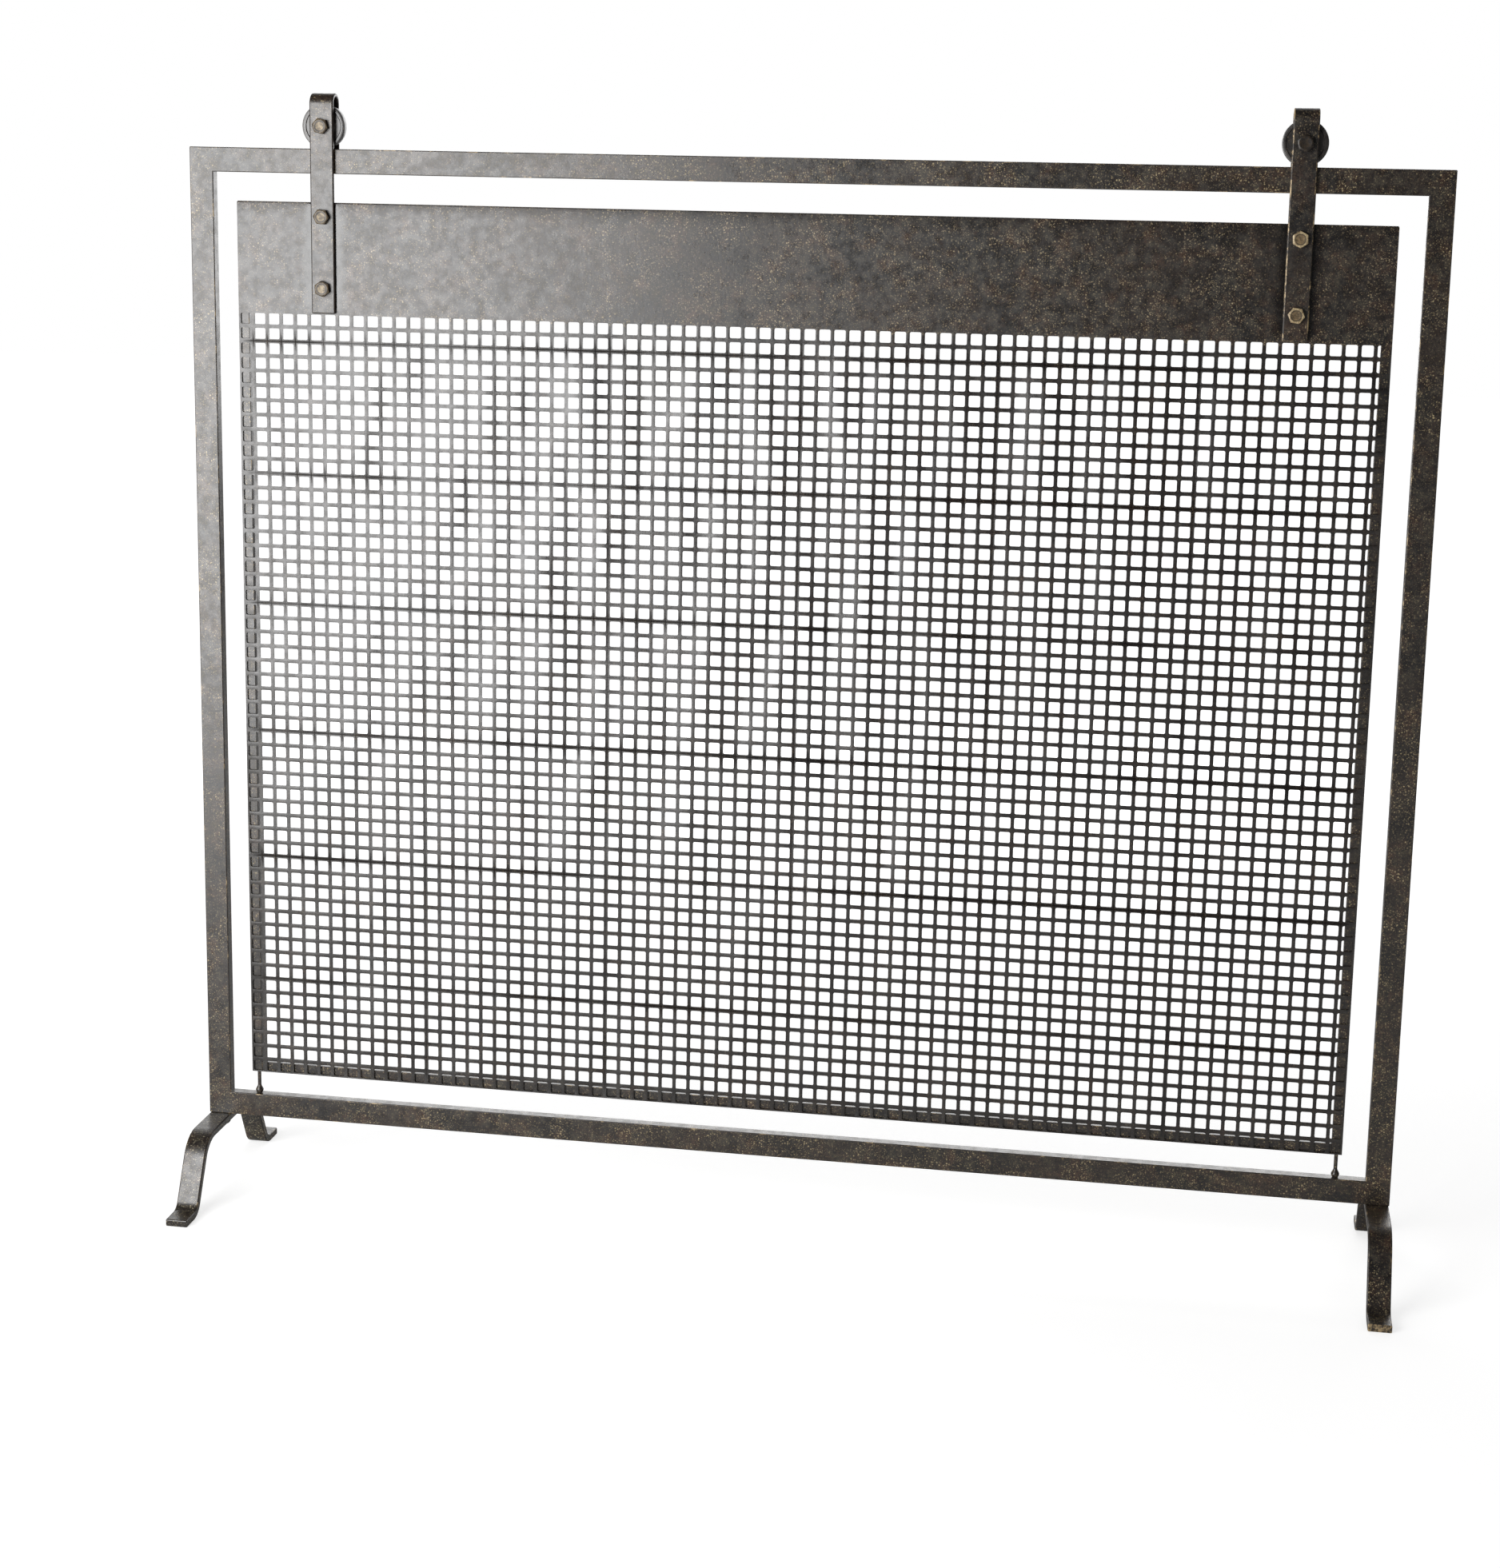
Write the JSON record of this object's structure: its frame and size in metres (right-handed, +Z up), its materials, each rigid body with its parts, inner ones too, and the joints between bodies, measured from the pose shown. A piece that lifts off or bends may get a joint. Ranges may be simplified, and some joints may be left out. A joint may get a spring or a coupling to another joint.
{
  "type": "fireplace screen",
  "caption": "Free-standing fireplace screen: flat-bar frame on bowed legs, with a punched steel panel that hangs from strap hangers and rolls along the top rail.",
  "frame": {"origin": "floor level under the middle of the screen, midway between the two legs and between front and back toes", "axes": "+X to the right seen from the front, +Y to the back, +Z up"},
  "size_m": [0.965, 0.214, 0.8969],
  "materials": {
    "frame_steel": "satin dark bronze with gold flecks and worn edges",
    "panel_steel": "satin dark bronze with gold flecks",
    "hanger_steel": "satin dark bronze, bright worn edges",
    "bolt_steel": "dark bronze rubbed to bright bronze on the heads",
    "wheel_steel": "satin black brown",
    "bush_brass": "dull"
  },
  "bodies": {
    "frame": {"left_post": "frame_steel", "right_post": "frame_steel", "top_rail": "frame_steel", "bottom_rail": "frame_steel", "left_leg": "frame_steel", "right_leg": "frame_steel", "leg_bolts": "bolt_steel"},
    "panel": {"panel_sheet": "panel_steel", "left_stile": "panel_steel", "right_stile": "panel_steel", "bottom_bar": "panel_steel", "left_hanger": "hanger_steel", "right_hanger": "hanger_steel", "hanger_bolts": "bolt_steel", "hanger_nuts": "bolt_steel", "axle_bolts": "bolt_steel", "axle_nuts": "bolt_steel", "axle_spacers": "bolt_steel", "guide_pins": "panel_steel"},
    "left_roller": {"left_wheel": "wheel_steel", "left_bush": "bush_brass"},
    "right_roller": {"right_wheel": "wheel_steel", "right_bush": "bush_brass"}
  },
  "joints": [
    {"name": "panel_slide", "type": "slide", "parent": "frame", "child": "panel", "axis": [1, 0, 0], "range_m": [-0.018, 0.018]},
    {"name": "left_roller_spin", "type": "hinge", "parent": "panel", "child": "left_roller", "pos_m": [-0.3735, 0, 0.8718], "axis": [0, 1, 0], "range_deg": [-62, 62]},
    {"name": "right_roller_spin", "type": "hinge", "parent": "panel", "child": "right_roller", "pos_m": [0.3735, 0, 0.8718], "axis": [0, 1, 0], "range_deg": [-62, 62]}
  ],
  "couplings": [
    {"joint": "left_roller_spin", "follows": "panel_slide", "rad_per_m": 58.824},
    {"joint": "right_roller_spin", "follows": "panel_slide", "rad_per_m": 58.824}
  ]
}
